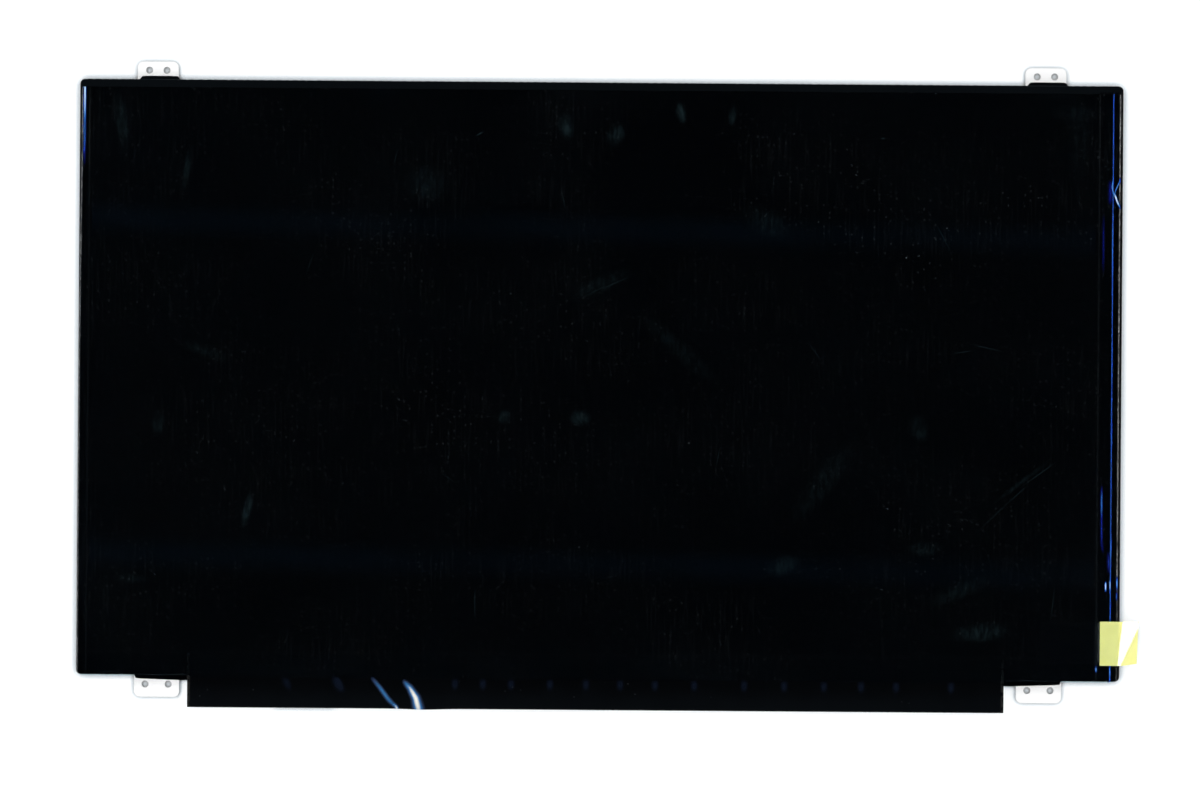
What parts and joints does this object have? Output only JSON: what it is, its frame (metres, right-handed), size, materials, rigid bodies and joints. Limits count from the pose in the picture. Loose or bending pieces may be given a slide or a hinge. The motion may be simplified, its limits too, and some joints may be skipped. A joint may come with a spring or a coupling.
{
  "type": "laptop screen panel",
  "caption": "Bare slim liquid-crystal screen panel for a laptop, with screw ears, a taped edge, a driver board strip along the bottom and a clear protective film with a pull tab.",
  "frame": {"origin": "middle of the panel's outline, on the rear face of the back plate", "axes": "+X to the right of the picture, +Y to the top of the picture, +Z out of the screen"},
  "size_m": [0.3661, 0.2228, 0.0034],
  "materials": {
    "plate_metal": "bare stamped sheet, satin",
    "frame_plastic": "white moulded polycarbonate",
    "white_sheet": "matt white optical sheet",
    "clear_plastic": "clear acrylic and film",
    "panel_glass": "thin display glass",
    "polariser_film": "dark polarising film",
    "black_tape": "black polyester tape",
    "clear_film": "clear protective film, scuffed and dusty",
    "tab_yellow": "translucent yellow film",
    "board_mask": "green solder mask",
    "amber_film": "amber polyimide with copper traces",
    "chip_black": "moulded chip package",
    "ferrite": "sintered ferrite",
    "ceramic": "ceramic with tinned ends",
    "connector_plastic": "ivory high-temperature plastic",
    "plated_metal": "tin-plated sheet",
    "gold_contact": "gold-plated contacts"
  },
  "bodies": {
    "root": {"array_glass": "panel_glass", "back_plate": "plate_metal", "backlight_driver": "chip_black", "board_capacitors": "ceramic", "board_cover_film": "black_tape", "board_resistors": "chip_black", "cell_tape": "black_tape", "colour_filter_glass": "panel_glass", "connector_contacts": "gold_contact", "connector_housing": "connector_plastic", "connector_shell": "plated_metal", "control_board": "board_mask", "driver_chip_1": "chip_black", "driver_chip_2": "chip_black", "driver_chip_3": "chip_black", "driver_chip_4": "chip_black", "driver_film_1": "amber_film", "driver_film_2": "amber_film", "driver_film_3": "amber_film", "driver_film_4": "amber_film", "edge_tape_bottom_left": "black_tape", "edge_tape_bottom_right": "black_tape", "edge_tape_left": "black_tape", "edge_tape_right": "black_tape", "edge_tape_top": "black_tape", "front_polariser": "polariser_film", "led_circuit": "amber_film", "leds": "white_sheet", "level_shifter": "chip_black", "light_guide": "clear_plastic", "lower_diffuser": "white_sheet", "lower_prism_sheet": "clear_plastic", "memory_chip": "chip_black", "mid_frame": "frame_plastic", "power_inductor": "ferrite", "protective_film": "clear_film", "pull_tab": "tab_yellow", "pull_tape": "clear_film", "rear_polariser": "polariser_film", "reflector_sheet": "white_sheet", "timing_controller": "chip_black", "upper_diffuser": "white_sheet", "upper_prism_sheet": "clear_plastic"}
  },
  "joints": []
}
